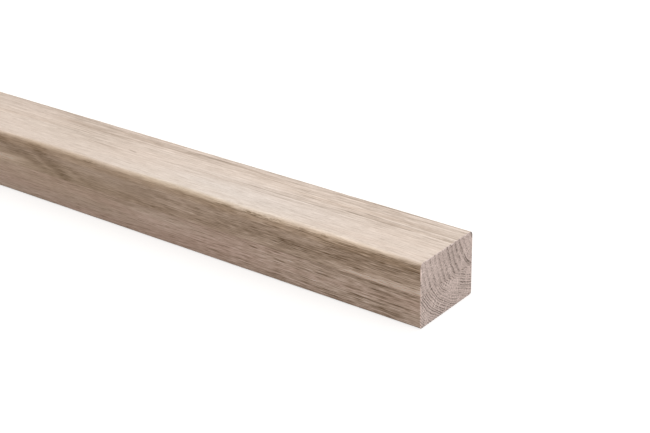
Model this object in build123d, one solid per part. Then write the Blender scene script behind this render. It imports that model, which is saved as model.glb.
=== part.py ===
from build123d import *
import os

# A straight oak handrail, glued up from two boards laid flat on each other.
# X runs along the rail, Y across its width and Z up. The origin is the middle of the underside.

# Driving dimensions, in millimetres
rail_length = 1000.0
rail_width = 58.0
rail_height = 45.0
top_radius = 3.0        # the two upper long edges, which the hand goes over
bottom_radius = 2.0     # the two lower long edges, which look a little crisper
end_arris = 0.4         # the sawn ends have their outline just taken off with abrasive

# The glue line lies halfway up, so both boards were planed to one thickness
board_thickness = rail_height / 2


def rail_blank():
    """The finished outline of the whole rail, as it leaves the moulder and the saw."""
    blank = Box(
        rail_length, rail_width, rail_height,
        align=(Align.CENTER, Align.CENTER, Align.MIN),
    )
    upper_edges = blank.edges().filter_by(Axis.X).group_by(Axis.Z)[-1]
    blank = fillet(upper_edges, top_radius)
    lower_edges = blank.edges().filter_by(Axis.X).group_by(Axis.Z)[0]
    blank = fillet(lower_edges, bottom_radius)
    end_faces = blank.faces().filter_by(Axis.X)
    return chamfer(end_faces.edges(), end_arris)


def board(blank, underside):
    """The board of the rail whose lower face is at the height given."""
    room = Pos(0, 0, underside) * Box(
        rail_length, rail_width, board_thickness,
        align=(Align.CENTER, Align.CENTER, Align.MIN),
    )
    return blank & room


rail = rail_blank()
boards = {
    "lower_board": board(rail, 0.0),
    "upper_board": board(rail, board_thickness),
}

os.makedirs("parts", exist_ok=True)
for name, shape in boards.items():
    shape.label = name
    export_step(shape, f"parts/{name}.step")
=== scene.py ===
import math

import bmesh
import bpy
from mathutils import Matrix, Vector, noise


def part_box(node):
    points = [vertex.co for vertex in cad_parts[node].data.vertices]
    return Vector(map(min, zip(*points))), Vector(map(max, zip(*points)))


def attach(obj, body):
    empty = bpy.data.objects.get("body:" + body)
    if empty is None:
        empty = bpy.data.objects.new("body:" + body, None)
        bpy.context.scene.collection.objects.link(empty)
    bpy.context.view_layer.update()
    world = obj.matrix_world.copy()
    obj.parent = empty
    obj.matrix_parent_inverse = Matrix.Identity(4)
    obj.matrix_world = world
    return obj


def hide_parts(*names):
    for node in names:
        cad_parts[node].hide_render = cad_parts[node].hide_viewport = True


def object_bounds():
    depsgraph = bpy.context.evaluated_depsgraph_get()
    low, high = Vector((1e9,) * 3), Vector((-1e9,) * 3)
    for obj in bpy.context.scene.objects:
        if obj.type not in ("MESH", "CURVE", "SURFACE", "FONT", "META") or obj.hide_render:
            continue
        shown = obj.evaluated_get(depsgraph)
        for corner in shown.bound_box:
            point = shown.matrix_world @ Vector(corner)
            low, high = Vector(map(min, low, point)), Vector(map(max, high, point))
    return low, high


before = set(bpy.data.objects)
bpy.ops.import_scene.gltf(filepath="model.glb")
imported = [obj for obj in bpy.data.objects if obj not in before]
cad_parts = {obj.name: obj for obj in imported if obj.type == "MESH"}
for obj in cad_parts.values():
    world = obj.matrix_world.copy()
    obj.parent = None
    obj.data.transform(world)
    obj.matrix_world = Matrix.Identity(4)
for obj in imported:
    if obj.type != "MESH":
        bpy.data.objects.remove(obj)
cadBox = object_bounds()
print("frame loaded:", sorted(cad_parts))

# X runs along the rail to the end in view, -Y is the long side in view, and Z is up
mm = 0.001
railLow, railHigh = (Vector(corner) for corner in cadBox)
halfLength, halfWidth, railTop = (reach / mm for reach in railHigh)
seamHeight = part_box("upper_board")[0].z

cameraSetup = {
    "target": (0.38243, 0.02991, 0.02215),
    "distance": 1.1148,
    "azimuth": 37.603,
    "elevation": 25.364,
    "roll": -1.082,
    "lens": 91.750,
    "sensor": 36.0,
    "clip": (0.01, 50.0),
}


def makeCamera(setup):
    data = bpy.data.cameras.new("camera")
    data.lens = setup["lens"]
    data.sensor_width = setup["sensor"]
    data.clip_start, data.clip_end = setup["clip"]
    camera = bpy.data.objects.new("camera", data)
    bpy.context.scene.collection.objects.link(camera)
    turn = (
        Matrix.Rotation(math.radians(setup["azimuth"]), 4, "Z")
        @ Matrix.Rotation(math.radians(90 - setup["elevation"]), 4, "X")
        @ Matrix.Rotation(math.radians(setup["roll"]), 4, "Z")
    )
    back = turn @ Vector((0, 0, 1))
    place = Vector(setup["target"]) + back * setup["distance"]
    camera.matrix_world = Matrix.Translation(place) @ turn
    bpy.context.scene.camera = camera
    print("camera ready, lens", setup["lens"])


makeCamera(cameraSetup)


# a socket that can be added, multiplied and so on
class Value:
    def __init__(self, shade, socket):
        self.shade = shade
        self.socket = socket

    def math(self, operation, *others):
        return self.shade.math(operation, self, *others)

    def __add__(self, other):
        return self.math("ADD", other)

    __radd__ = __add__

    def __sub__(self, other):
        return self.math("SUBTRACT", other)

    def __rsub__(self, other):
        return self.shade.math("SUBTRACT", other, self)

    def __mul__(self, other):
        return self.math("MULTIPLY", other)

    __rmul__ = __mul__

    def __truediv__(self, number):
        return self.math("MULTIPLY", 1.0 / number)


# the nodes of one material, or of the world
class Shade:
    def __init__(self, owner):
        owner.use_nodes = True
        self.tree = owner.node_tree
        self.tree.nodes.clear()

    def node(self, kind, settings=None, sockets=None):
        made = self.tree.nodes.new("ShaderNode" + kind)
        for name, value in (settings or {}).items():
            setattr(made, name, value)
        for name, value in (sockets or {}).items():
            socket = made.inputs[name]
            if isinstance(value, Value):
                self.tree.links.new(value.socket, socket)
            elif isinstance(value, bpy.types.NodeSocket):
                self.tree.links.new(value, socket)
            else:
                socket.default_value = value
        return made

    def math(self, operation, *values):
        made = self.node("Math", {"operation": operation}, dict(enumerate(values)))
        return Value(self, made.outputs[0])

    # rises from 0 to 1 between low and high
    def smooth(self, value, low, high, start=0.0, stop=1.0):
        made = self.node(
            "MapRange",
            {"interpolation_type": "SMOOTHSTEP"},
            {"Value": value, "From Min": low, "From Max": high, "To Min": start, "To Max": stop},
        )
        return Value(self, made.outputs["Result"])

    # falls from 1 to 0 between full and gone
    def fade(self, value, full, gone):
        return self.smooth(value, full, gone, 1.0, 0.0)

    def place(self, x, y, z):
        return self.node("CombineXYZ", None, {"X": x, "Y": y, "Z": z}).outputs[0]

    # noise around 0, which mostly stays within 0.25 of it
    def noise(self, x, y, z, detail=2.0, roughness=0.5):
        made = self.node(
            "TexNoise",
            None,
            {"Vector": self.place(x, y, z), "Scale": 1.0, "Detail": detail, "Roughness": roughness},
        )
        return Value(self, made.outputs[0]) - 0.5

    # how far the nearest of many scattered points is
    def cells(self, x, y, z):
        made = self.node("TexVoronoi", None, {"Vector": self.place(x, y, z), "Scale": 1.0})
        return Value(self, made.outputs["Distance"])

    # one chance value from 0 to 1 for each whole number
    def chance(self, number):
        made = self.node("TexWhiteNoise", {"noise_dimensions": "1D"}, {"W": number})
        return Value(self, made.outputs["Value"])

    def mix(self, amount, first, second, blend="MIX"):
        first, second = (
            (*colour, 1.0) if isinstance(colour, tuple) else colour for colour in (first, second)
        )
        settings = {"data_type": "RGBA", "blend_type": blend}
        return self.node("Mix", settings, {0: amount, 6: first, 7: second}).outputs[2]

    # a colour multiplied by a tint as far as the mask goes
    def tint(self, mask, colour, tint):
        return self.mix(mask, colour, tint, "MULTIPLY")


# a colour as it looks on screen, 0 to 255, to the linear one that the shader takes
def screen(red, green, blue):
    shares = (value / 255 for value in (red, green, blue))
    return tuple(s / 12.92 if s <= 0.04045 else ((s + 0.055) / 1.055) ** 2.4 for s in shares)


# All lengths of the oak are in mm. The pith is where a board's rings are centred, at the end in
# view, and lean is how far it wanders for each mm back from there. A drift moves the rings by its
# third number between two places along the rail. A streak is a stain, except where marked as painted
# highlight or painted shade: from and to are its ends, along the rail and across the face, and its
# strength is below zero where it is lighter. A patch is an oval, and calm says how far it hides the
# rings; the marked ones are painted shade and painted highlight on the rounded front edge. A dark
# ring has its distance from the pith, its reach and its strength, and a torn place its middle, half
# length and strength; its tears are also painted darker, as shade. Bands, threads, dashes and
# endBands are how strongly each of these shows, and the painted back shade is how far the top is
# darkened towards its back.
upperOak = {
    "pith": (62.0, 62.0),
    "lean": (0.004, -0.003),
    "ringWidth": 4.4,
    "uneven": 0.9,
    "face": screen(218, 208, 198.5),
    "end": screen(203, 192, 189),
    "rosy": (1.0, 0.985, 0.975),
    "paintedSideShade": 0.34,
    "drifts": [(80, 200, -6.5), (262, 322, 4.0)],
    "bands": 0.13,
    "threads": 0.26,
    "endBands": 0.50,
    "dashes": 0.14,
    "dashLength": 23.0,
    "paintedBackShade": 0.115,
    "seed": 11.0,
    "sideStreaks": [
        {"from": (118, 43.0), "to": (178, 27.0), "width": 3.6, "strength": 0.18},
        {"from": (160, 42.5), "to": (204, 22.5), "width": 4.6, "strength": 0.20},
        {"from": (196, 35.0), "to": (230, 23.0), "width": 2.6, "strength": 0.08},
        {"from": (168, 25.0), "to": (300, 24.6), "width": 3.4, "strength": 0.10},
        {"from": (110, 36.0), "to": (285, 33.0), "width": 8.0, "strength": 0.04},
        {"from": (302, 24.5), "to": (354, 30.5), "width": 3.0, "strength": 0.14},
        {"from": (348, 34.0), "to": (404, 31.5), "width": 6.0, "strength": 0.12},
        {"from": (384, 30.6), "to": (462, 29.4), "width": 5.0, "strength": 0.19},
        {"from": (430, 37.6), "to": (530, 39.0), "width": 5.0, "strength": 0.17},
        # painted highlight just under the front top edge
        {"from": (335, 41.0), "to": (400, 40.6), "width": 2.2, "strength": -0.07},
        {"from": (424, 26.6), "to": (530, 25.6), "width": 2.2, "strength": -0.24},
        {"from": (424, 24.2), "to": (530, 23.9), "width": 1.5, "strength": -0.24},
        {"from": (472, 35.0), "to": (530, 35.0), "width": 2.2, "strength": 0.09},
        {"from": (290, 36.6), "to": (340, 36.0), "width": 3.0, "strength": -0.06},
        {"from": (284, 31.0), "to": (322, 30.0), "width": 2.4, "strength": -0.07},
        {"from": (100, 27.5), "to": (150, 26.0), "width": 2.6, "strength": -0.08},
        {"from": (340, 38.8), "to": (384, 38.8), "width": 1.6, "strength": -0.08},
        # the next two: a painted shade line under the front edge's highlight, then the painted highlight
        # on its rounding
        {"from": (300, 42.2), "to": (430, 41.6), "width": 0.9, "strength": 0.10},
        {"from": (252, 43.4), "to": (392, 43.4), "width": 0.9, "strength": -0.08},
        {"from": (120, 28.5), "to": (164, 27.0), "width": 4.0, "strength": -0.09},
        {"from": (240, 28.0), "to": (306, 27.5), "width": 4.5, "strength": 0.06},
        {"from": (90, 26.5), "to": (156, 25.0), "width": 4.6, "strength": -0.17},
        {"from": (190, 39.0), "to": (300, 40.0), "width": 5.0, "strength": -0.05},
    ],
    "topStreaks": [
        {"from": (262, 18.4), "to": (329, 24.4), "width": 1.1, "strength": 0.19},
        {"from": (206, 15.0), "to": (306, 18.0), "width": 5.0, "strength": 0.075},
        {"from": (120, 26.0), "to": (210, 24.0), "width": 2.6, "strength": 0.06},
        {"from": (238, 19.0), "to": (249, 19.0), "width": 1.0, "strength": 0.18},
        {"from": (160, 17.5), "to": (233, 9.0), "width": 3.5, "strength": 0.06},
        {"from": (162, 4.0), "to": (232, -5.2), "width": 3.5, "strength": 0.09},
        {"from": (168, -10.0), "to": (208, -19.0), "width": 3.0, "strength": 0.06},
        {"from": (232, 0.0), "to": (241, -1.0), "width": 0.8, "strength": 0.40},
        {"from": (336, 25.6), "to": (505, 25.6), "width": 1.2, "strength": 0.07},
        {"from": (358, 6.2), "to": (408, 5.6), "width": 0.8, "strength": 0.18},
        {"from": (334, 2.0), "to": (416, 1.5), "width": 0.8, "strength": 0.20},
        {"from": (338, -2.2), "to": (385, -2.6), "width": 0.8, "strength": 0.12},
        {"from": (418, 10.2), "to": (468, 9.6), "width": 0.8, "strength": 0.18},
        {"from": (406, 6.4), "to": (476, 5.6), "width": 0.9, "strength": 0.22},
        {"from": (400, 4.6), "to": (470, 4.0), "width": 3.6, "strength": 0.07},
        {"from": (434, 1.8), "to": (492, 1.4), "width": 0.8, "strength": 0.22},
        {"from": (396, 20.2), "to": (415, 20.0), "width": 0.8, "strength": 0.20},
        {"from": (434, 20.2), "to": (468, 19.8), "width": 0.8, "strength": 0.18},
        # painted highlight along the front top edge
        {"from": (430, -27.0), "to": (520, -27.0), "width": 1.0, "strength": -0.05},
        {"from": (472, 13.0), "to": (530, 12.6), "width": 2.0, "strength": 0.10},
        {"from": (400, 2.6), "to": (448, 2.4), "width": 2.0, "strength": 0.07},
        {"from": (148, 22.5), "to": (208, 22.5), "width": 2.6, "strength": 0.07},
        {"from": (468, 23.4), "to": (530, 23.0), "width": 2.2, "strength": 0.09},
        {"from": (370, 17.0), "to": (400, 17.0), "width": 2.0, "strength": 0.07},
        {"from": (350, 12.5), "to": (390, 12.5), "width": 2.4, "strength": -0.06},
    ],
    "sidePatches": [
        {"at": (175, 22.0), "reach": (105, 16.0), "tint": (1.0, 1.005, 0.97)},
    ],
    "topPatches": [
        {"at": (184, 4.0), "reach": (56, 22.0), "tint": (0.945, 0.94, 0.93)},
        {"at": (120, 17.0), "reach": (50, 8.0), "tint": (1.03, 1.025, 1.03)},
        # the next two: painted shade on the rounded front edge
        {"at": (190, -28.0), "reach": (60, 4.4), "tint": (0.91, 0.88, 0.83)},
        {"at": (300, -28.0), "reach": (60, 4.4), "tint": (0.95, 0.92, 0.86)},
        {"at": (320, -20.0), "reach": (120, 13.0), "tint": (1.05, 1.085, 1.11)},
        # painted highlight on the rounded front edge
        {"at": (410, -27.0), "reach": (90, 4.0), "tint": (1.12, 1.12, 1.10)},
        {"at": (360, -7.0), "reach": (110, 17.0), "tint": (0.975, 1.0, 1.025)},
        {"at": (410, 12.5), "reach": (75, 4.5), "tint": (1.055, 1.055, 1.055)},
    ],
    "endPatches": [
        {"at": (22.0, 37.0), "reach": (6.5, 8.0), "strength": -0.07, "calm": 0.5},
        {"at": (-20.0, 36.0), "reach": (14.0, 11.0), "strength": -0.10, "calm": 0.6},
        {"at": (6.0, 38.0), "reach": (9.0, 8.0), "strength": 0.06, "calm": 0.0},
    ],
    "darkRings": [(49.7, 0.8, 0.30)],
    "tornAndShaded": [
        (222, 8, 0.6), (234, 4, 0.7), (345, 9, 0.8), (367, 10, 1.3), (384, 10, 1.3),
        (408, 7, 0.9), (427, 6, 0.9), (-60, 9, 0.9), (-240, 8, 0.9),
    ],
}

lowerOak = {
    "pith": (50.0, 76.5),
    "lean": (-0.005, 0.004),
    "ringWidth": 1.55,
    "uneven": 1.8,
    "face": screen(226, 215, 205),
    "end": screen(208, 197, 194),
    "rosy": (1.0, 0.95, 0.965),
    "paintedSideShade": 0.0,
    "drifts": [(120, 260, 2.0), (330, 400, -1.5)],
    "bands": 0.12,
    "threads": 0.26,
    "endBands": 0.74,
    "dashes": 0.24,
    "dashLength": 16.0,
    "paintedBackShade": 0.0,
    "seed": 47.0,
    "sideStreaks": [
        # painted light thrown up from the floor: the middle of the lower board's side is lighter
        {"from": (256, 15.5), "to": (470, 12.0), "width": 7.0, "strength": -0.085},
        {"from": (412, 21.6), "to": (530, 21.6), "width": 0.7, "strength": 0.20},
        {"from": (363, 19.4), "to": (373, 18.8), "width": 0.7, "strength": 0.30},
        {"from": (384, 16.0), "to": (396, 15.0), "width": 0.7, "strength": 0.34},
        {"from": (400, 15.6), "to": (417, 15.0), "width": 0.7, "strength": 0.30},
        {"from": (416, 15.8), "to": (440, 15.2), "width": 0.7, "strength": 0.26},
        {"from": (440, 9.8), "to": (480, 9.2), "width": 0.7, "strength": 0.28},
        {"from": (458, 17.4), "to": (486, 17.0), "width": 0.7, "strength": 0.26},
        {"from": (468, 11.8), "to": (499, 11.2), "width": 0.7, "strength": 0.26},
        {"from": (440, 13.2), "to": (455, 13.0), "width": 0.7, "strength": 0.26},
        {"from": (395, 6.0), "to": (430, 5.6), "width": 0.7, "strength": 0.16},
        {"from": (460, 5.6), "to": (492, 5.2), "width": 0.7, "strength": 0.20},
        {"from": (428, 4.8), "to": (530, 4.6), "width": 1.8, "strength": 0.05},
        {"from": (296, 19.6), "to": (345, 19.6), "width": 2.2, "strength": -0.06},
        {"from": (170, 20.2), "to": (285, 20.2), "width": 2.4, "strength": 0.045},
        {"from": (474, 15.4), "to": (530, 15.2), "width": 1.5, "strength": 0.14},
    ],
    "topStreaks": [],
    "sidePatches": [
        {"at": (175, 22.0), "reach": (105, 16.0), "tint": (1.0, 1.005, 0.97)},
    ],
    "topPatches": [],
    "endPatches": [
        {"at": (8.0, 15.0), "reach": (8.0, 7.5), "strength": -0.03, "calm": 1.0},
        {"at": (17.0, 4.5), "reach": (10.0, 5.5), "strength": 0.04, "calm": 0.6},
        {"at": (-20.0, 10.0), "reach": (9.0, 10.0), "strength": -0.04, "calm": 0.2},
    ],
    "darkRings": [],
    "tornAndShaded": [],
}

# Each layer of the grain: how long, wide and high one blotch of it is, in mm, and the axis along
# which the seed shifts it, so that the two boards differ.
grainLayers = {
    "sway": {"size": (170, 40, 40), "shift": "x"},
    "ripple": {"size": (34, 7, 7), "shift": "x"},
    "broad": {"size": (140, 8, 8), "shift": "x"},
    "pink": {"size": (110, 11, 11), "shift": "y", "detail": 1.0},
    "figure": {"size": (85, 9, 9), "shift": "y"},
    "crowding": {"size": (60, 8, 8), "shift": "y"},
    "plainness": {"size": (40, 8, 8), "shift": "z"},
    "longLines": {"size": (60, 1.5, 6), "shift": "y", "detail": 1.0},
    "strands": {"size": (32, 1.4, 0.65), "shift": "y", "detail": 1.0},
    "threads": {"size": (22, 1.0, 0.55), "shift": "z", "detail": 0.0},
    "fibre": {"size": (12, 0.7, 0.45), "shift": "x", "detail": 1.0},
    "fine": {"size": (6, 0.5, 0.32), "shift": "y", "detail": 0.0},
    "broken": {"size": (7, 1.2, 0.8), "shift": "x", "roughness": 0.6},
    "ragged": {"size": (5, 1.2, 1.2), "shift": "x", "roughness": 0.6},
    "crumbs": {"size": (2, 1.2, 1.2), "shift": "y", "roughness": 0.7},
}

# The zones of the rail, as distances in mm between which each fades in or out. Front is the long
# side in view.
zones = {
    "front": (2.0, 15.0),         # behind the front: its stains, painted highlights and shade, and patches
    "top": (1.5, 5.0),            # below the top: its stains, painted highlights and shade, and patches
    "sandedTopVsShadedSides": (0.4, 2.5),         # below the top: its finer sanded grain; the sides' coarser grain is partly painted relief shade, and their deeper colour is painted shade
    "backLines": (17.0, 37.0),    # behind the front: the lines of the top set in
    "paintedBackShade": (24.0, 58.0),        # behind the front: painted shade, darker towards the back of the top
    "end": (0.3, 0.45),           # back from an end: the sawn end grain
    "rim": (0.4, 1.6),            # behind the front: the painted highlight on the corner of the end
    "lively": (80.0, 270.0),      # back from an end: the stronger grain
    "lined": (300.0, 410.0),      # back from an end: the stronger lines of the top
    "glueShown": (70.0, 200.0),   # back from an end: the glue line shows more
    "darkRings": (5.0, 11.0),     # below the top: the dark rings set in
    "goldAcross": (0.2, 3.5),     # in from either long side: the edges painted with warm shade where they turn from the light
    "warmShadeDown": (3.5, 9.0),       # below the top
    "paintedSideShade": (2.0, 7.0),       # below the top: the side painted a little yellower, as shade
    "tornAcross": (0.8, 1.6),     # behind the front: the torn fibres, painted darker as shade
    "tornFrom": (0.4, 1.3),       # below the top, where they set in
    "tornTo": (2.2, 3.2),         # and where they stop
}

ringShape = {
    "sway": 7.0,              # mm, how far the slow and the quick bends push the rings
    "ripple": 1.6,
    "slant": 0.9,             # how far back a drift lies for each mm behind the front
    "unevenOver": 2.3,        # rings from one wider stretch to the next
    "opens": (0.0, 0.10),     # the shares of a ring where its early wood sets in and ends
    "closes": (0.18, 0.66),
    "raySectors": 46.15,      # rays for each radian round the pith
    "rayWidth": 9.0,          # mm, out from the pith
    "rayLength": 8.0,         # mm, along the rail
    "rayReach": (0.10, 0.42),
}

# the sizes of one pore, dash or speck in mm, and the reach over which it fades out
poreShape = {
    "tube": (7.0, 0.42, 0.42),
    "tubeReach": (0.18, 0.5),
    "dashWidth": 1.4,
    "dashHeight": 0.75,
    "dashReach": (0.17, 0.33),
    "speck": (3.0, 1.1, 1.1),
    "speckReach": (0.18, 0.56),
    "crowded": (-0.08, 0.10),
    "threadReach": (0.06, 0.16),
}

oakFinish = {
    "sideLayers": {"fibre": 1.30, "fine": 0.95, "strands": 0.55},
    "topLayers": {"fibre": 0.58, "crumbs": 0.28, "strands": 0.25},
    "gold": (1.02, 0.97, 0.87),       # painted warm shade on the rounded top edges
    "warmShadeBlotch": 22.0,               # mm along the rail
    "amber": (1.03, 0.985, 0.945),    # the dark lines of the top
    # a painted highlight on the end's corner next to the front
    "rim": (1.4, 1.4, 1.4),
    "glue": screen(120, 92, 66),
    "glueReach": (0.06, 0.40),
    "ior": 1.45,
    "specular": 0.35,
    "roughness": 0.62,
    "bump": {"Strength": 0.6, "Distance": 0.001},
    "darkestFace": 0.25,              # shares of the board's own colour
    "darkestEnd": 0.2,
}

# How a streak is drawn: its core and rim as shares of its width, how far the grain bends it, and
# the share of its length over which its ends fade out, up to the longest taper.
streakShape = {
    "core": 0.2,
    "rim": 1.3,
    "bends": {"ripple": 1.4, "sway": 0.8, "strands": 0.8},
    "taper": 0.3,
    "longestTaper": 14.0,
    "sideForce": 1.5,
    "topForce": 1.0,
}


# The solid wood of one board. The same rings, pores and rays show on its faces and its ends.
class Oak:
    def __init__(self, name, board):
        self.board = board
        self.material = bpy.data.materials.new(name)
        self.shade = Shade(self.material)
        where = self.shade.node("TexCoord").outputs["Object"]
        inMm = self.shade.node("VectorMath", {"operation": "SCALE"}, {0: where, "Scale": 1 / mm})
        split = self.shade.node("SeparateXYZ", None, {0: inMm.outputs[0]})
        self.x, self.y, self.z = (Value(self.shade, split.outputs[axis]) for axis in range(3))
        self.grain = {layer: self.blotches(**settings) for layer, settings in grainLayers.items()}
        self.findZones()
        self.growRings()
        self.openPores()
        self.finish()
        print(name, "made:", len(self.shade.tree.nodes), "nodes")

    # the place on the board, counted in blotches and shifted so that the two boards differ
    def spread(self, size, shift="x"):
        place = [value / step for value, step in zip((self.x, self.y, self.z), size)]
        axis = "xyz".index(shift)
        place[axis] = place[axis] + self.board["seed"]
        return place

    def blotches(self, size, shift, detail=2.0, roughness=0.5):
        return self.shade.noise(*self.spread(size, shift), detail, roughness)

    def blended(self, weights):
        return sum(self.grain[layer] * weight for layer, weight in weights.items())

    def findZones(self):
        self.fromEnd = halfLength - self.x.math("ABSOLUTE")
        self.behindFront = self.y + halfWidth
        self.belowTop = railTop - self.z
        self.nearFront = self.shade.fade(self.behindFront, *zones["front"])
        self.nearTop = self.shade.fade(self.belowTop, *zones["top"])
        self.sandedTopVsShadedSides = self.shade.fade(self.belowTop, *zones["sandedTopVsShadedSides"])
        self.backLines = self.shade.smooth(self.behindFront, *zones["backLines"])
        self.onEnd = self.shade.fade(self.fromEnd, *zones["end"])

    # rings bent as the trunk was, each of open early wood and denser late wood, and the rays,
    # which are thin sheets that run out from the pith
    def growRings(self):
        shade, board, grain = self.shade, self.board, self.grain
        fromShownEnd = halfLength - self.x
        across = self.y - board["pith"][0] - fromShownEnd * board["lean"][0]
        down = self.z - board["pith"][1] - fromShownEnd * board["lean"][1]
        distance = (across * across + down * down).math("SQRT")
        distance = distance + grain["sway"] * ringShape["sway"] + grain["ripple"] * ringShape["ripple"]
        slanted = self.x - (halfWidth - self.y) * ringShape["slant"]
        for start, stop, amount in board["drifts"]:
            distance = distance + shade.smooth(slanted, start, stop) * amount
        number = distance / board["ringWidth"]
        stretch = number / ringShape["unevenOver"] + board["seed"]
        number = number + shade.noise(stretch, 0.0, 0.0) * board["uneven"]
        within = number.math("FRACT")
        early = shade.smooth(within, *ringShape["opens"]) * shade.fade(within, *ringShape["closes"])
        ringTone = shade.chance(number.math("FLOOR") + board["seed"])
        self.early = early * (ringTone * 0.8 + 0.4)

        sector = across.math("ARCTAN2", down) * ringShape["raySectors"] + board["seed"]
        outwards = distance / ringShape["rayWidth"]
        sheets = shade.cells(sector, outwards, self.x / ringShape["rayLength"])
        self.rays = shade.fade(sheets, *ringShape["rayReach"])

        doubleLines = []
        for ringAt, reach, strength in board["darkRings"]:
            fromLine = ((distance - ringAt).math("ABSOLUTE") - reach).math("ABSOLUTE")
            line = shade.fade(fromLine, reach * 0.3, reach) * (grain["ripple"] * 3 + 0.9)
            line = line * shade.smooth(self.belowTop, *zones["darkRings"])
            doubleLines.append(line * strength)
        self.darkRings = sum(doubleLines)

    # open pores are long tubes along the rail, crowded in the early wood
    def openPores(self):
        shade = self.shade
        tubes = shade.cells(*self.spread(poreShape["tube"]))
        self.pores = shade.fade(tubes, *poreShape["tubeReach"]) * (self.early * 0.85 + 0.15)
        crowded = shade.smooth(self.grain["crowding"], *poreShape["crowded"])
        dash = (self.board["dashLength"], poreShape["dashWidth"], poreShape["dashHeight"])
        dashes = shade.fade(shade.cells(*self.spread(dash)), *poreShape["dashReach"])
        self.dashes = dashes * (crowded * 0.8 + 0.2) * (self.early * 0.5 + 0.5)
        threads = shade.smooth(self.grain["threads"], *poreShape["threadReach"])
        self.threads = threads * (crowded * 0.6 + 0.4)
        self.specks = shade.fade(shade.cells(*self.spread(poreShape["speck"])), *poreShape["speckReach"])

    # stains that follow the figure of a sawn face, and painted highlights and shade along the edges
    def streaked(self, streaks, acrossFace, near, force):
        stainsAndPaintedLight = []
        for streak in streaks:
            (startX, startAcross), (stopX, stopAcross) = streak["from"], streak["to"]
            width = streak["width"]
            length = stopX - startX
            line = (self.x - startX) * ((stopAcross - startAcross) / length) + startAcross
            off = (acrossFace - line + self.blended(streakShape["bends"]) * width).math("ABSOLUTE")
            soft = min(streakShape["taper"] * length, streakShape["longestTaper"])
            mask = self.shade.fade(off, width * streakShape["core"], width * streakShape["rim"])
            mask = mask * self.shade.smooth(self.x, startX - soft * 0.3, startX + soft)
            mask = mask * self.shade.fade(self.x, stopX - soft, stopX + soft * 0.3)
            stainsAndPaintedLight.append(mask * (streak["strength"] * force))
        return sum(stainsAndPaintedLight) * near

    # 1 in the middle of an oval and 0 outside it
    def oval(self, patch, first, second, core, rim):
        sideways = (first - patch["at"][0]) / patch["reach"][0]
        upwards = (second - patch["at"][1]) / patch["reach"][1]
        return self.shade.fade((sideways * sideways + upwards * upwards).math("SQRT"), core, rim)

    # short torn fibres along the front top edge, painted darker as the shade in their tears
    def tornFibresAndShade(self):
        shade = self.shade
        onEdge = shade.fade(self.behindFront, *zones["tornAcross"])
        onEdge = onEdge * shade.smooth(self.belowTop, *zones["tornFrom"])
        onEdge = onEdge * shade.fade(self.belowTop, *zones["tornTo"])
        places = []
        for middle, reach, strength in self.board["tornAndShaded"]:
            near = shade.fade((self.x - middle).math("ABSOLUTE"), reach * 0.3, reach * 1.2)
            places.append(near * strength)
        return sum(places) * onEdge * shade.smooth(self.grain["ragged"], -0.10, 0.10)

    # the sides are coarser, partly as painted shade of their relief, the top is sanded finer and lined
    # along its back half
    def faceTone(self, tornAndShaded):
        shade, board, grain = self.shade, self.board, self.grain
        figure = shade.smooth(grain["figure"], -0.14, 0.14)
        marks = self.threads * board["threads"] + self.early * figure * board["bands"]
        marks = marks + self.rays * 0.04 + self.dashes * board["dashes"]
        sideGrain = self.blended(oakFinish["sideLayers"]) - marks * 1.30 + 0.045
        lined = self.backLines * (shade.fade(self.fromEnd, *zones["lined"]) * 0.55 + 0.30)
        topGrain = self.blended(oakFinish["topLayers"]) + grain["longLines"] * lined
        topGrain = topGrain - marks * (self.backLines * 0.5 + 0.2) - 0.005
        lively = shade.fade(self.fromEnd, *zones["lively"]) * 0.54 + 0.50
        tone = sideGrain * lively * (1 - self.sandedTopVsShadedSides) + topGrain * (lively * 0.4 + 0.55) * self.sandedTopVsShadedSides
        tone = tone + 1.03 + grain["broad"] * 0.20 - self.pores * 0.16

        # the streaks: stains, and on the edges painted highlight and painted shade
        stainAndPaintedLight = self.streaked(board["sideStreaks"], self.z, self.nearFront, streakShape["sideForce"])
        stainAndPaintedLight = stainAndPaintedLight + self.streaked(board["topStreaks"], self.y, self.nearTop, streakShape["topForce"])
        # the tears are painted darker, as the shade in them
        tone = tone - stainAndPaintedLight * (grain["broken"] * 1.6 + 1.0) - tornAndShaded * 0.36
        # painted shade: the top darkens towards its back
        tone = tone - shade.smooth(self.behindFront, *zones["paintedBackShade"]) * board["paintedBackShade"]
        return tone.math("MAXIMUM", oakFinish["darkestFace"])

    def faceColour(self, tornAndShaded):
        shade, board, grain = self.shade, self.board, self.grain
        tone = self.faceTone(tornAndShaded)
        # the sides are painted browner and deeper than the top, as shade
        green = tone.math("POWER", 1.15 - self.sandedTopVsShadedSides * 0.04)
        blue = tone.math("POWER", 1.36 - self.sandedTopVsShadedSides * 0.12)
        deep = shade.node("CombineColor", None, {0: tone, 1: green, 2: blue})
        colour = shade.tint(1.0, board["face"], deep.outputs[0])
        colour = shade.tint(shade.smooth(grain["pink"], -0.2, 0.2), colour, board["rosy"])

        # painted warm shade where the rounded top edges turn from the light, and on the upper board's
        # side below them
        fromSide = halfWidth - self.y.math("ABSOLUTE")
        gold = shade.fade(fromSide, *zones["goldAcross"])
        gold = gold * shade.fade(self.belowTop, *zones["warmShadeDown"])
        blotch = self.x / oakFinish["warmShadeBlotch"] + board["seed"]
        gold = gold * (shade.noise(blotch, 0.0, 0.0) * 0.9 + 0.8)
        gold = gold + shade.smooth(self.belowTop, *zones["paintedSideShade"]) * board["paintedSideShade"]
        colour = shade.tint(gold, colour, oakFinish["gold"])
        amber = shade.fade(grain["longLines"], -0.22, -0.04) * self.backLines * self.sandedTopVsShadedSides
        colour = shade.tint(amber * 0.5, colour, oakFinish["amber"])

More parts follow.
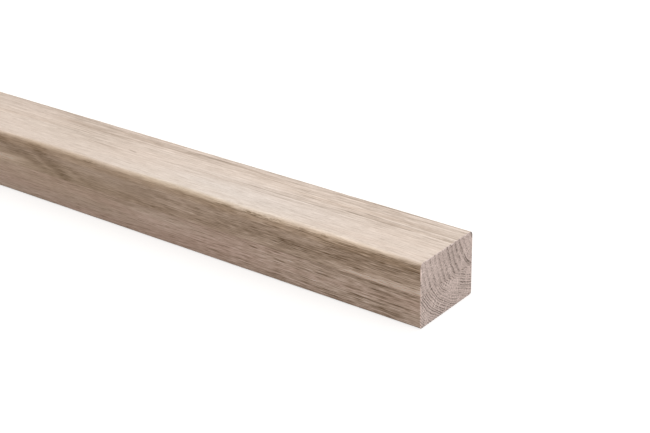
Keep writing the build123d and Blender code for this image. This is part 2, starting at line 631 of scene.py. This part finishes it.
        # some of the patches paint shade and highlight on the rounded front edge
        for patches, acrossFace, near in (
            (board["sidePatches"], self.z, self.nearFront),
            (board["topPatches"], self.y, self.nearTop),
        ):
            for patch in patches:
                covered = self.oval(patch, self.x, acrossFace, 0.3, 1.1) * near
                colour = shade.tint(covered, colour, patch["tint"])
        return colour

    def endColour(self):
        shade, board, grain = self.shade, self.board, self.grain
        ringsShown = shade.smooth(grain["plainness"], -0.22, 0.05)
        tone = grain["crumbs"] * 1.2 + 1.06 + grain["broad"] * 0.2
        for patch in board["endPatches"]:
            covered = self.oval(patch, self.y, self.z, 0.4, 1.2)
            tone = tone - covered * patch["strength"]
            ringsShown = ringsShown * (1 - covered * patch["calm"])
        tone = tone - self.specks * (self.early * 0.4 + 0.22) - self.pores * 0.24
        tone = tone - self.early * ringsShown * (1 - self.rays * 0.9) * board["endBands"]
        tone = tone + self.rays * 0.22 - self.darkRings
        tone = tone.math("MAXIMUM", oakFinish["darkestEnd"])
        sockets = {0: tone, 1: tone.math("POWER", 1.05), 2: tone.math("POWER", 1.10)}
        return shade.tint(1.0, board["end"], shade.node("CombineColor", None, sockets).outputs[0])

    def finish(self):
        shade = self.shade
        tornAndShaded = self.tornFibresAndShade()
        colour = shade.mix(self.onEnd, self.faceColour(tornAndShaded), self.endColour())
        # a painted highlight along the end's corner next to the front
        rim = self.onEnd * shade.fade(self.behindFront, *zones["rim"])
        colour = shade.tint(rim * 0.8, colour, oakFinish["rim"])
        fromSeam = (self.z - seamHeight / mm).math("ABSOLUTE")
        glue = shade.fade(fromSeam, *oakFinish["glueReach"])
        glue = glue * (shade.fade(self.fromEnd, *zones["glueShown"]) * 0.45 + 0.05)
        colour = shade.mix(glue * (1 - self.onEnd * 0.6), colour, oakFinish["glue"])

        fibre = self.grain["fibre"]
        rough = self.pores * 0.2 + fibre * 0.1 + self.onEnd * 0.1 + oakFinish["roughness"]
        height = self.pores * -0.05 + fibre * 0.012 + self.early * -0.008 - tornAndShaded * 0.08
        bump = shade.node("Bump", None, {"Height": height, **oakFinish["bump"]})
        sockets = {
            "Base Color": colour,
            "Roughness": rough,
            "Normal": bump.outputs[0],
            "IOR": oakFinish["ior"],
            "Specular IOR Level": oakFinish["specular"],
        }
        shader = shade.node("BsdfPrincipled", None, sockets)
        shade.node("OutputMaterial", None, {"Surface": shader.outputs[0]})


# the shape of one board of the rail, in mm
boardShape = {
    "topRadius": 3.0,
    "bottomRadius": 2.0,
    "roundSteps": 8,
    "seamArris": 0.05,
    "endArris": 0.4,
    "holdLoop": 0.4,      # from a rounding to the loop that keeps its shading off the flat
    "sharpFrom": 32.0,    # degrees
    "slices": 799,
    "handWork": 0.10,     # how far the sanded edges wander inwards
    "waves": [(38, 3.0, 1.0), (130, 7.0, 0.5)],    # for each m, a row of the noise, and share
    "rowPitch": 90,       # how far apart the rows of an upper and a lower edge are, for each m
    "endCalm": 0.6,       # how far from the ends the hand work stops
    "tearOuts": [         # place along the rail, half length and depth, on the front top edge
        (222, 5, 0.12), (234, 3, 0.14), (345, 6, 0.14), (366, 7, 0.32), (383, 8, 0.34),
        (407, 6, 0.18), (425, 4, 0.20), (432, 2, 0.24), (-60, 8, 0.2), (-240, 7, 0.2),
    ],
    "tearFades": 2.5,     # half lengths from its middle where a tear is looked for
    "ruggedness": 0.8,
    "ruggedPitch": 600,   # for each m
}


def alongRail(edge):
    start, stop = (vertex.co for vertex in edge.verts)
    return abs(stop.x - start.x) > 0.5 * (railHigh.x - railLow.x)


def atSeam(vertex):
    return abs(vertex.co.z - seamHeight) < 1e-5


def roundOff(bm, edges, width, steps):
    bmesh.ops.bevel(
        bm,
        geom=edges,
        offset=width * mm,
        offset_type="OFFSET",
        segments=steps,
        profile=0.5,
        affect="EDGES",
        material=-1,
        clamp_overlap=True,
    )


# sanding by hand leaves the rounded edges a little uneven, and the moulder tore some fibre out
def workEdges(bm, shape, edgeY, edgeZ, up):
    for vertex in bm.verts:
        place = vertex.co
        side = -1 if place.y < 0 else 1
        fromY = abs(place.y) - edgeY
        fromZ = (place.z - edgeZ) * up
        if fromY < -1e-7 or fromZ < -1e-7 or abs(place.x) > railHigh.x - shape["endCalm"] * mm:
            continue
        outward = Vector((0, side * fromY, up * fromZ))
        if outward.length < 1e-7:
            continue
        outward.normalize()
        middle = math.sin(2 * math.atan2(fromZ, fromY))    # 1 halfway round, 0 at the flats
        wave = 0.0
        for pitch, row, share in shape["waves"]:
            spot = Vector((place.x * pitch, side * row, edgeZ * shape["rowPitch"]))
            wave += share * noise.noise(spot)
        depth = shape["handWork"] * max(0.0, 0.5 + wave) * middle
        if up > 0 and side < 0:
            for centre, reach, deep in shape["tearOuts"]:
                along = (place.x / mm - centre) / reach
                if abs(along) < shape["tearFades"]:
                    spot = Vector((place.x * shape["ruggedPitch"], 1.0, centre))
                    rugged = 1 + shape["ruggedness"] * noise.noise(spot)
                    depth += deep * rugged * math.exp(-along * along) * middle
        vertex.co = place - outward * depth * mm


# up is 1 for the board whose rounded edges are above, and -1 for the other
def makeBoard(name, node, oak, shape, up):
    low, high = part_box(node)
    bm = bmesh.new()
    bmesh.ops.create_cube(bm, size=1.0)
    bmesh.ops.scale(bm, vec=high - low, verts=bm.verts)
    bmesh.ops.translate(bm, vec=(low + high) / 2, verts=bm.verts)

    rounding = shape["topRadius"] if up > 0 else shape["bottomRadius"]
    outer = [edge for edge in bm.edges if alongRail(edge) and not atSeam(edge.verts[0])]
    roundOff(bm, outer, rounding, shape["roundSteps"])
    inner = [edge for edge in bm.edges if alongRail(edge) and atSeam(edge.verts[0])]
    roundOff(bm, inner, shape["seamArris"], 1)
    ends = [edge for edge in bm.edges if not alongRail(edge) and not all(map(atSeam, edge.verts))]
    roundOff(bm, ends, shape["endArris"], 1)

    # a loop just inside each flat keeps the rounding's shading off it
    radius = rounding * mm
    hold = shape["holdLoop"] * mm
    outerHeight = high.z if up > 0 else low.z
    flatSide = high.y - radius - hold
    for place, facing in (
        (Vector((0, flatSide, 0)), Vector((0, 1, 0))),
        (Vector((0, -flatSide, 0)), Vector((0, 1, 0))),
        (Vector((0, 0, outerHeight - up * (radius + hold))), Vector((0, 0, 1))),
        (Vector((0, 0, seamHeight + up * hold)), Vector((0, 0, 1))),
    ):
        geometry = bm.verts[:] + bm.edges[:] + bm.faces[:]
        bmesh.ops.bisect_plane(bm, geom=geometry, plane_co=place, plane_no=facing)
    print(name, "outline:", len(bm.verts), "points,", len(bm.faces), "faces")

    lengthwise = [edge for edge in bm.edges if alongRail(edge)]
    bmesh.ops.subdivide_edges(bm, edges=lengthwise, cuts=shape["slices"], use_grid_fill=True)
    workEdges(bm, shape, high.y - radius, outerHeight - up * radius, up)

    bmesh.ops.recalc_face_normals(bm, faces=bm.faces)
    for face in bm.faces:
        face.smooth = True
    for edge in bm.edges:
        edge.smooth = edge.calc_face_angle(0.0) < math.radians(shape["sharpFrom"])
    mesh = bpy.data.meshes.new(name)
    bm.to_mesh(mesh)
    bm.free()
    mesh.materials.append(oak.material)
    piece = bpy.data.objects.new(name, mesh)
    bpy.context.scene.collection.objects.link(piece)
    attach(piece, "root")
    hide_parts(node)
    print(name, "made:", sum(len(face.vertices) - 2 for face in mesh.polygons), "triangles")


makeBoard("upperBoardWood", "upper_board", Oak("oakUpper", upperOak), boardShape, 1)
makeBoard("lowerBoardWood", "lower_board", Oak("oakLower", lowerOak), boardShape, -1)


studio = {
    "floorSize": 12.0,
    "floorColour": (0.36, 0.30, 0.25),    # for the light that it throws back
    "paperColour": (0.36, 0.36, 0.36),    # as it is seen, with the glow
    "floorGlow": 0.76,
    "floorFade": (0.9, 2.2),              # m from the middle, where the paper turns plain white
    "ambient": 0.44,
    "ambientColour": (1.0, 0.83, 0.715),
    "lamps": {
        "overhead": {"place": (0.25, 0.5, 1.6), "aim": (0.2, 0.0, 0.0), "size": 1.6, "watts": 16.45},
        "endFill": {"place": (2.2, 0.1, 0.9), "aim": (0.4, 0.0, 0.0), "size": 1.2, "watts": 16.0},
    },
}


# 1 for the rays that show the background, and 0 for those that only bring light
def backgroundRays(shade):
    rays = shade.node("LightPath")
    seen = Value(shade, rays.outputs["Is Camera Ray"])
    for kind in ("Is Glossy Ray", "Is Transmission Ray"):
        seen = seen.math("MAXIMUM", Value(shade, rays.outputs[kind]))
    return seen


def makeFloor(setup):
    bm = bmesh.new()
    bmesh.ops.create_grid(bm, x_segments=1, y_segments=1, size=setup["floorSize"] / 2)
    mesh = bpy.data.meshes.new("floor")
    bm.to_mesh(mesh)
    bm.free()
    floor = bpy.data.objects.new("floor", mesh)
    bpy.context.scene.collection.objects.link(floor)

    material = bpy.data.materials.new("floorPaper")
    shade = Shade(material)
    seen = backgroundRays(shade)
    bounce = shade.node("BsdfDiffuse", None, {"Color": (*setup["floorColour"], 1.0)})
    paper = shade.node("BsdfDiffuse", None, {"Color": (*setup["paperColour"], 1.0)})
    glow = shade.node("Emission", None, {"Strength": setup["floorGlow"]})
    both = shade.node("AddShader", None, {0: paper.outputs[0], 1: glow.outputs[0]})
    near = shade.node("MixShader", None, {0: seen, 1: bounce.outputs[0], 2: both.outputs[0]})
    white = shade.node("Emission", None, {"Strength": 1.0})
    where = shade.node("TexCoord").outputs["Object"]
    reach = shade.node("VectorMath", {"operation": "LENGTH"}, {0: where}).outputs["Value"]
    far = shade.smooth(reach, *setup["floorFade"]) * seen
    surface = shade.node("MixShader", None, {0: far, 1: near.outputs[0], 2: white.outputs[0]})
    shade.node("OutputMaterial", None, {"Surface": surface.outputs[0]})
    mesh.materials.append(material)


def makeRoom(setup):
    world = bpy.data.worlds.new("studioRoom")
    bpy.context.scene.world = world
    shade = Shade(world)
    soft = {"Color": (*setup["ambientColour"], 1.0), "Strength": setup["ambient"]}
    ambient = shade.node("Background", None, soft)
    white = shade.node("Background", None, {"Color": (1.0, 1.0, 1.0, 1.0)})
    sockets = {0: backgroundRays(shade), 1: ambient.outputs[0], 2: white.outputs[0]}
    room = shade.node("MixShader", None, sockets)
    shade.node("OutputWorld", None, {"Surface": room.outputs[0]})


def makeLamps(lamps):
    for name, lamp in lamps.items():
        data = bpy.data.lights.new(name, "AREA")
        data.shape = "SQUARE"
        data.size = lamp["size"]
        data.energy = lamp["watts"]
        light = bpy.data.objects.new(name, data)
        bpy.context.scene.collection.objects.link(light)
        towards = Vector(lamp["aim"]) - Vector(lamp["place"])
        turn = towards.to_track_quat("-Z", "Y").to_matrix().to_4x4()
        light.matrix_world = Matrix.Translation(Vector(lamp["place"])) @ turn


makeFloor(studio)
makeRoom(studio)
makeLamps(studio["lamps"])
bpy.context.scene.view_settings.view_transform = "Standard"
print("studio ready, lamps:", len(studio["lamps"]))
